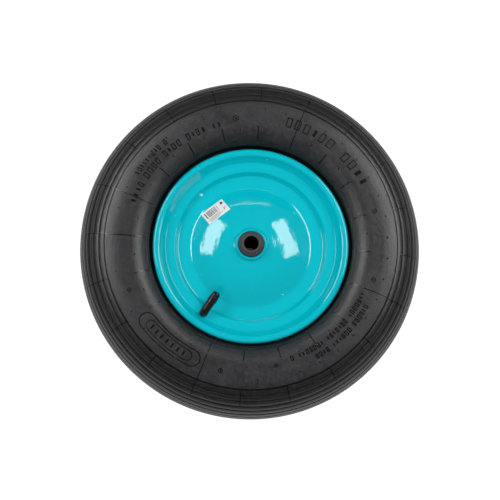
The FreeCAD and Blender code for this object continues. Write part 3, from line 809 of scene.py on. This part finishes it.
def valve_stem():
    """The rubber stem: its foot on the disc, the elbow, and the straight part under the cap."""
    maker = bmesh.new()
    base = at(95.0, 19.9, VALVE_ANGLE)
    out = -AXLE
    elbow = at(88.5, 26.3, VALVE_ANGLE)
    elbow_radius, elbow_turn, steps = 6.5, math.radians(83), 10
    outward = -inward
    spine = [(base + out * d * MM, out, r) for d, r in (
        (0.0, 7.0), (1.5, 7.0), (1.7, 4.4), (4.8, 4.4), (5.6, 4.6), (6.2, 4.9))]
    for k in range(1, steps + 1):
        t = elbow_turn * k / steps
        place = elbow + (outward * math.cos(t) + out * math.sin(t)) * elbow_radius * MM
        way = out * math.cos(t) - outward * math.sin(t)
        spine.append((place, way, 4.9 - 0.1 * k / steps))
    spine += [(ELBOW_END + STEM_WAY * d * MM, STEM_WAY, r) for d, r in (
        (0.8, 4.85), (7.6, 4.95), (8.3, 4.8), (8.55, 4.3), (8.56, 3.4))]
    tube(maker, spine)
    return to_object("valve_stem", maker, STEM, "wheel", ["valve_stem_rubber"], 50)


CAP_START = 8.72  # from the end of the elbow to the cap's open end
CAP_SIDES = 48
CAP_GRIP = 0.16
CAP_OUTSIDE = ((4.05, 0.0), (4.9, 0.0), (5.3, 0.4), (5.38, 1.2), (5.38, 6.6), (5.2, 7.1),
               (4.9, 7.4), (4.85, 8.0), (4.83, 10.2), (4.65, 11.3), (4.2, 12.3), (3.4, 13.05),
               (2.3, 13.5), (1.2, 13.65), (0.4, 13.68))
CAP_INSIDE = ((0.4, 11.5), (4.02, 11.4), (4.05, 0.0))


def valve_cap():
    """The screw-on dust cap, with fine grip ribs and a hollow inside."""
    maker = bmesh.new()
    first, second = frame_along(STEM_WAY, AXLE)

    def ring(radius, along, grip):
        middle = ELBOW_END + STEM_WAY * (CAP_START + along) * MM
        verts = []
        for k in range(CAP_SIDES):
            t = 2 * math.pi * k / CAP_SIDES
            sunk = CAP_GRIP if grip and k % 2 else 0.0
            verts.append(maker.verts.new(
                middle + (first * math.cos(t) + second * math.sin(t)) * (radius - sunk) * MM))
        return verts

    rings = [ring(radius, along, False) for radius, along in CAP_INSIDE]
    rings += [ring(radius, along, 1.0 < along < 6.8) for radius, along in CAP_OUTSIDE]
    skin(maker, rings)
    bmesh.ops.remove_doubles(maker, verts=maker.verts[:], dist=1e-7)
    bmesh.ops.recalc_face_normals(maker, faces=maker.faces[:])
    return to_object("valve_dust_cap", maker, CAP, "valve_cap", ["valve_cap"], 40)


def valve_coil():
    """A copy of the pin's spring, hung on the wheel in the spring's place."""
    still = nodes["valve_spring"]
    coil = bpy.data.objects.new("valve_coil", still.data.copy())
    bpy.context.scene.collection.objects.link(coil)
    reach = [STEM_WAY.dot(v.co) for v in coil.data.vertices]
    press = next(j for j in frame["joints"] if j["name"] == "valve_press")
    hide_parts("valve_spring")
    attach(coil, "wheel")
    1.0 - press["range_m"][1] / (max(reach) - min(reach))
    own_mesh(coil)


valve_stem()
valve_cap()
valve_coil()


# ------------------------------------------------------------------ paper label

LABEL_ANGLE = 225.0
LABEL_TURN = math.radians(37.0)


def dome_offset(radius):
    """Offset of the dome's front surface at a radius."""
    foot, middle = Vector(DOME_FOOT[:2]), Vector(DOME_MIDDLE[:2])
    top, rounding = Vector(DOME_TOP), DOME_MIDDLE[2]
    down, ahead = (foot - middle).normalized(), (top - middle).normalized()
    half = down.angle(ahead) / 2
    centre = middle + (down + ahead).normalized() * rounding / math.sin(half)
    start = middle + down * rounding / math.tan(half)
    if radius < start.x:
        return centre.y + math.sqrt(rounding ** 2 - (radius - centre.x) ** 2)
    slanted = start.y + (radius - start.x) * down.y / down.x
    bend = DOME_FOOT[2]
    turned = math.atan2(-down.y, down.x)
    low = Vector((foot.x + bend * math.tan(turned / 2), foot.y + bend))
    if radius > low.x - bend * math.sin(turned):
        return low.y - math.sqrt(max(0.0, bend ** 2 - (radius - low.x) ** 2))
    return slanted


def label_point(x, y, lift):
    """Point of the label; x runs along it and y up it, both in mm from its middle."""
    middle = at(57.8, 0, LABEL_ANGLE) / MM
    across = Vector((math.cos(LABEL_TURN), 0, math.sin(LABEL_TURN)))
    up = Vector((-math.sin(LABEL_TURN), 0, math.cos(LABEL_TURN)))
    flat = middle + across * x + up * y
    radius = math.hypot(flat.x, flat.z)
    return Vector((flat.x, -(dome_offset(radius) + lift), flat.z)) * MM


def label_patch(maker, x0, x1, y0, y1, low, high, steps=12):
    """A thin slab that lies on the dome."""
    grid = {}
    for level, lift in ((0, low), (1, high)):
        for i in range(steps + 1):
            for j in range(steps + 1):
                x = x0 + (x1 - x0) * i / steps
                y = y0 + (y1 - y0) * j / steps
                grid[i, j, level] = maker.verts.new(label_point(x, y, lift))
    for i in range(steps):
        for j in range(steps):
            for level in (0, 1):
                maker.faces.new((grid[i, j, level], grid[i + 1, j, level],
                                 grid[i + 1, j + 1, level], grid[i, j + 1, level]))
    for k in range(steps):
        for a, b in (((k, 0), (k + 1, 0)), ((k, steps), (k + 1, steps)),
                     ((0, k), (0, k + 1)), ((steps, k), (steps, k + 1))):
            maker.faces.new((grid[(*a, 0)], grid[(*b, 0)], grid[(*b, 1)], grid[(*a, 1)]))


def paper_label():
    """The paper and its plain print: bars, short dashes and a square."""
    maker = bmesh.new()
    label_patch(maker, -15.0, 15.0, -8.5, 8.5, 0.03, 0.20, 24)
    bmesh.ops.recalc_face_normals(maker, faces=maker.faces[:])
    to_object("label_sheet", maker, PAPER, "wheel", ["rim_label"])
    maker = bmesh.new()
    chance = random.Random(11)
    place = -9.8
    while place < 2.2:
        wide = chance.choice((0.25, 0.25, 0.45, 0.6))
        label_patch(maker, place, place + wide, -1.6, 6.4, 0.18, 0.29, 10)
        place += wide + chance.choice((0.3, 0.4, 0.5))
    label_patch(maker, -12.6, -11.4, -2.0, 6.2, 0.18, 0.29, 10)
    label_patch(maker, 4.2, 4.7, -1.0, 6.2, 0.18, 0.29, 10)
    for row, (start, stop) in enumerate(((-12.6, 3.0), (-12.6, 6.5), (-11.5, 1.0))):
        place = start
        while place < stop:
            wide = chance.uniform(0.5, 1.4)
            label_patch(maker, place, place + wide, -3.9 - 1.5 * row, -3.35 - 1.5 * row,
                        0.18, 0.29, 6)
            place += wide + 0.35
    label_patch(maker, 9.8, 12.8, 3.2, 6.2, 0.18, 0.29, 8)
    label_patch(maker, 9.6, 12.4, -2.4, -1.7, 0.18, 0.29, 8)
    label_patch(maker, 8.9, 11.0, -4.0, -3.4, 0.18, 0.29, 8)
    bmesh.ops.recalc_face_normals(maker, faces=maker.faces[:])
    to_object("label_print", maker, INK, "wheel")


paper_label()


# ------------------------------------------------------------------ stage, light and camera

def stage_wall():
    """Backdrop that curves up from a low floor behind the wheel."""
    mesh = bpy.data.meshes.new("backdrop")
    maker = bmesh.new()
    profile = [(0.2, -3.2), (1.4, -3.2), (2.16, -3.0), (2.66, -2.4), (2.8, -1.6), (2.8, 4.4)]
    rows = [[maker.verts.new((x, y, z)) for y, z in profile] for x in (-7.0, 7.0)]
    for i in range(len(profile) - 1):
        maker.faces.new((rows[0][i], rows[1][i], rows[1][i + 1], rows[0][i + 1]))
    maker.to_mesh(mesh)
    maker.free()
    for face in mesh.polygons:
        face.use_smooth = True
    mesh.materials.append(WHITE)
    wall = bpy.data.objects.new("backdrop", mesh)
    bpy.context.scene.collection.objects.link(wall)


def pale_surround():
    """Pale room round the whole stage that only shows behind the wheel."""
    mesh = bpy.data.meshes.new("surround")
    maker = bmesh.new()
    bmesh.ops.create_icosphere(maker, subdivisions=4, radius=9.0)
    bmesh.ops.reverse_faces(maker, faces=maker.faces[:])
    maker.to_mesh(mesh)
    maker.free()
    mesh.materials.append(WHITE)
    room = bpy.data.objects.new("surround", mesh)
    bpy.context.scene.collection.objects.link(room)
    for ray in ("diffuse", "glossy", "transmission", "shadow"):
        setattr(room, f"visible_{ray}", False)


def look_from(azimuth, elevation, distance):
    """Place seen from the wheel's centre; azimuth 0 is straight in front."""
    a, e = math.radians(azimuth), math.radians(elevation)
    return Vector((math.sin(a) * math.cos(e), -math.cos(a) * math.cos(e), math.sin(e))) * distance


def softbox(name, azimuth, elevation, distance, wide, tall, power, lean=0.0):
    """A rectangular light that faces the wheel, leaning by an angle in its own plane."""
    light = bpy.data.lights.new(name, "AREA")
    light.shape = "RECTANGLE"
    light.size = wide
    light.size_y = tall
    light.energy = power
    lamp = bpy.data.objects.new(name, light)
    bpy.context.scene.collection.objects.link(lamp)
    lamp.visible_camera = False
    lamp.location = look_from(azimuth, elevation, distance)
    lamp.rotation_mode = "QUATERNION"
    facing_wheel = (-lamp.location).to_track_quat("-Z", "Y")
    lamp.rotation_quaternion = facing_wheel @ Quaternion((0, 0, 1), math.radians(lean))
    return lamp


stage_wall()
pale_surround()
softbox("left_softbox", -48, 18, 1.6, 0.56, 1.10, 14.5, -17)
softbox("right_softbox", 45, 17, 1.6, 0.58, 1.16, 15, 17)
softbox("top_strip", 3, 62.5, 1.7, 1.25, 0.022, 0.8)
fill = softbox("front_fill", -2, -24, 2.6, 3.0, 3.0, 53)
fill.visible_glossy = False

world = bpy.data.worlds.new("studio")
bpy.context.scene.world = world
world.use_nodes = True
world.node_tree.nodes["Background"].inputs["Color"].default_value = (0.10, 0.10, 0.105, 1)

camera_data = bpy.data.cameras.new("camera")
camera = bpy.data.objects.new("camera", camera_data)
bpy.context.scene.collection.objects.link(camera)
bpy.context.scene.camera = camera
SEEN_FROM = (-1.8, -8.7)
PITCH = 5.8
DISTANCE = 1.6
camera.location = look_from(*SEEN_FROM, DISTANCE)
facing = look_from(-1.8, -PITCH, 1.0)
camera.rotation_mode = "QUATERNION"
camera.rotation_quaternion = (-facing).to_track_quat("-Z", "Y")
camera_data.lens = 97.3
camera_data.sensor_width = 36.0
camera_data.shift_y = math.tan(math.radians(-SEEN_FROM[1] - PITCH)) * camera_data.lens / 36.0
camera_data.shift_x = 0.0
bpy.context.scene.view_settings.view_transform = "Standard"
